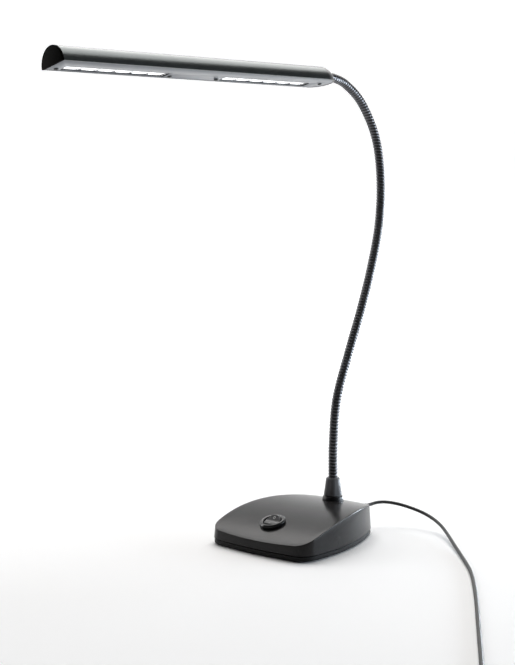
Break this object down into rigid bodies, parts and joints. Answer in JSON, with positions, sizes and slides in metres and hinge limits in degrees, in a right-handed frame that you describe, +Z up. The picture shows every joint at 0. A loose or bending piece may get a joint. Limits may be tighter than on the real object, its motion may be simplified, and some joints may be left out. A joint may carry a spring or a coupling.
{
  "type": "gooseneck piano lamp",
  "caption": "Tabletop piano lamp: a long half-round light bar carried by a flexible ribbed gooseneck on a heavy crowned base with a round rocker switch.",
  "frame": {"origin": "the middle of the base's underside, on the lamp's axis, at the table's surface", "axes": "+Z up; the front of the lamp, the side of the switch, faces -Y; +X is to the right of a person who faces it"},
  "size_m": [0.4331, 0.5166, 0.4477],
  "materials": {
    "cover_plastic": "fine satin grey-black moulding",
    "tray_plastic": "matt black moulding",
    "pad_rubber": "matt",
    "ballast_steel": "cut plate",
    "screw_steel": "zinc plated",
    "plate_screw_steel": "nickel plated",
    "circuit_board": "solder mask",
    "component_plastic": "moulded",
    "switch_plastic": "semi-gloss",
    "rocker_plastic": "gloss",
    "terminal_brass": "tinned",
    "flange_metal": "satin black",
    "collar_metal": "satin black with ground flats",
    "fitting_steel": "zinc plated",
    "ferrule_metal": "satin black",
    "hose_metal": "satin black wound strip",
    "profile_aluminium": "black anodised",
    "front_cap_plastic": "flat black",
    "neck_cap_plastic": "satin black",
    "plate_metal": "satin dark grey",
    "reflector_plastic": "white",
    "lamp_chip": "phosphor",
    "lead_rubber": "matt",
    "gland_rubber": "matt",
    "cord_rubber": "matt jacket",
    "tie_plastic": "hook tape",
    "adapter_plastic": "fine spark texture",
    "pin_steel": "plated"
  },
  "bodies": {
    "base": {"base_cover": "cover_plastic", "base_tray": "tray_plastic", "base_pad": "pad_rubber", "ballast_plate": "ballast_steel", "tray_screws": "screw_steel", "control_board": "circuit_board", "board_parts": "component_plastic", "board_standoffs": "screw_steel", "switch_housing": "switch_plastic", "rocker_pin": "screw_steel", "switch_terminals": "terminal_brass", "neck_flange": "flange_metal", "neck_collar": "collar_metal", "neck_fitting": "fitting_steel", "neck_washer": "fitting_steel", "neck_locknut": "fitting_steel", "hose_01": "hose_metal", "cord_gland": "gland_rubber", "power_cord": "cord_rubber", "cord_coil": "cord_rubber", "cord_tie": "tie_plastic", "adapter_case": "adapter_plastic", "adapter_cover": "adapter_plastic", "adapter_pins": "pin_steel"},
    "rocker": {"switch_rocker": "rocker_plastic"},
    "neck_02": {"hose_02": "hose_metal"},
    "neck_03": {"hose_03": "hose_metal"},
    "neck_04": {"hose_04": "hose_metal"},
    "neck_05": {"hose_05": "hose_metal"},
    "neck_06": {"hose_06": "hose_metal"},
    "neck_07": {"hose_07": "hose_metal"},
    "neck_08": {"hose_08": "hose_metal"},
    "neck_09": {"hose_09": "hose_metal"},
    "neck_10": {"hose_10": "hose_metal"},
    "neck_11": {"hose_11": "hose_metal"},
    "neck_12": {"hose_12": "hose_metal"},
    "neck_13": {"hose_13": "hose_metal"},
    "neck_14": {"hose_14": "hose_metal"},
    "neck_15": {"hose_15": "hose_metal"},
    "neck_16": {"hose_16": "hose_metal"},
    "head": {"hose_17": "hose_metal", "hose_ferrule": "ferrule_metal", "ferrule_nut": "fitting_steel", "head_profile": "profile_aluminium", "head_front_cap": "front_cap_plastic", "head_neck_cap": "neck_cap_plastic", "light_plate": "plate_metal", "plate_screws": "plate_screw_steel", "plate_lugs": "fitting_steel", "reflector_front": "reflector_plastic", "reflector_rear": "reflector_plastic", "led_board_front": "circuit_board", "led_board_rear": "circuit_board", "leds_front": "lamp_chip", "leds_rear": "lamp_chip", "head_lead": "lead_rubber"}
  },
  "joints": [
    {"name": "neck_lower_tilt", "type": "hinge", "parent": "base", "child": "neck_02", "pos_m": [0.00007, 0.04423, 0.06542], "axis": [1, 0.0001, -0.0072], "range_deg": [-15, 7]},
    {"name": "neck_lower_lean", "type": "hinge", "parent": "neck_02", "child": "neck_03", "pos_m": [-0.00021, 0.04549, 0.09334], "axis": [0, -0.9944, 0.1056], "range_deg": [-15, 15]},
    {"name": "neck_lower_tilt_2", "type": "hinge", "parent": "neck_03", "child": "neck_04", "pos_m": [-0.0014, 0.05014, 0.12088], "axis": [0.9988, 0.0128, 0.0471], "range_deg": [-15, 7]},
    {"name": "neck_lower_lean_2", "type": "hinge", "parent": "neck_04", "child": "neck_05", "pos_m": [-0.00285, 0.06096, 0.14658], "axis": [0, -0.8802, 0.4745], "range_deg": [-15, 15]},
    {"name": "neck_lower_tilt_3", "type": "hinge", "parent": "neck_05", "child": "neck_06", "pos_m": [-0.00446, 0.07466, 0.17092], "axis": [0.9982, 0.029, 0.0521], "range_deg": [-15, 7]},
    {"name": "neck_lower_lean_3", "type": "hinge", "parent": "neck_06", "child": "neck_07", "pos_m": [-0.00618, 0.08879, 0.19501], "axis": [0, -0.8587, 0.5125], "range_deg": [-15, 15]},
    {"name": "neck_lower_tilt_4", "type": "hinge", "parent": "neck_07", "child": "neck_08", "pos_m": [-0.00811, 0.10271, 0.21921], "axis": [0.9973, 0.0359, 0.0642], "range_deg": [-15, 7]},
    {"name": "neck_lower_lean_4", "type": "hinge", "parent": "neck_08", "child": "neck_09", "pos_m": [-0.01028, 0.11597, 0.24375], "axis": [0, -0.8905, 0.4549], "range_deg": [-15, 15]},
    {"name": "neck_upper_tilt", "type": "hinge", "parent": "neck_09", "child": "neck_10", "pos_m": [-0.01259, 0.12811, 0.26886], "axis": [-0.9964, -0.0353, -0.0766], "range_deg": [-10, 15]},
    {"name": "neck_upper_lean", "type": "hinge", "parent": "neck_10", "child": "neck_11", "pos_m": [-0.0151, 0.13857, 0.29468], "axis": [0, -0.9485, 0.3167], "range_deg": [-15, 15]},
    {"name": "neck_upper_tilt_2", "type": "hinge", "parent": "neck_11", "child": "neck_12", "pos_m": [-0.01799, 0.14591, 0.32151], "axis": [-0.994, -0.0224, -0.107], "range_deg": [-10, 15]},
    {"name": "neck_upper_lean_2", "type": "hinge", "parent": "neck_12", "child": "neck_13", "pos_m": [-0.02121, 0.14962, 0.34903], "axis": [0, -0.9975, 0.0712], "range_deg": [-15, 15]},
    {"name": "neck_upper_tilt_3", "type": "hinge", "parent": "neck_13", "child": "neck_14", "pos_m": [-0.02471, 0.14899, 0.37673], "axis": [-0.992, 0.0194, -0.1248], "range_deg": [-10, 15]},
    {"name": "neck_upper_lean_3", "type": "hinge", "parent": "neck_14", "child": "neck_15", "pos_m": [-0.02824, 0.14, 0.40285], "axis": [0, -0.8787, -0.4774], "range_deg": [-15, 15]},
    {"name": "neck_upper_tilt_4", "type": "hinge", "parent": "neck_15", "child": "neck_16", "pos_m": [-0.03078, 0.12263, 0.42437], "axis": [-0.999, 0.0361, -0.0272], "range_deg": [-10, 15]},
    {"name": "neck_upper_lean_4", "type": "hinge", "parent": "neck_16", "child": "head", "pos_m": [-0.03108, 0.09772, 0.43681], "axis": [0, -0.2522, -0.9677], "range_deg": [-15, 15]},
    {"name": "rocker_press", "type": "hinge", "parent": "base", "child": "rocker", "pos_m": [0, -0.04503, 0.02341], "axis": [-1, 0, 0], "range_deg": [0, 20]}
  ],
  "couplings": [
    {"joint": "neck_lower_tilt_2", "follows": "neck_lower_tilt", "ratio": 1},
    {"joint": "neck_lower_tilt_3", "follows": "neck_lower_tilt", "ratio": 1},
    {"joint": "neck_lower_tilt_4", "follows": "neck_lower_tilt", "ratio": 1},
    {"joint": "neck_lower_lean_2", "follows": "neck_lower_lean", "ratio": 1},
    {"joint": "neck_lower_lean_3", "follows": "neck_lower_lean", "ratio": 1},
    {"joint": "neck_lower_lean_4", "follows": "neck_lower_lean", "ratio": 1},
    {"joint": "neck_upper_tilt_2", "follows": "neck_upper_tilt", "ratio": 1},
    {"joint": "neck_upper_tilt_3", "follows": "neck_upper_tilt", "ratio": 1},
    {"joint": "neck_upper_tilt_4", "follows": "neck_upper_tilt", "ratio": 1},
    {"joint": "neck_upper_lean_2", "follows": "neck_upper_lean", "ratio": 1},
    {"joint": "neck_upper_lean_3", "follows": "neck_upper_lean", "ratio": 1},
    {"joint": "neck_upper_lean_4", "follows": "neck_upper_lean", "ratio": 1}
  ]
}
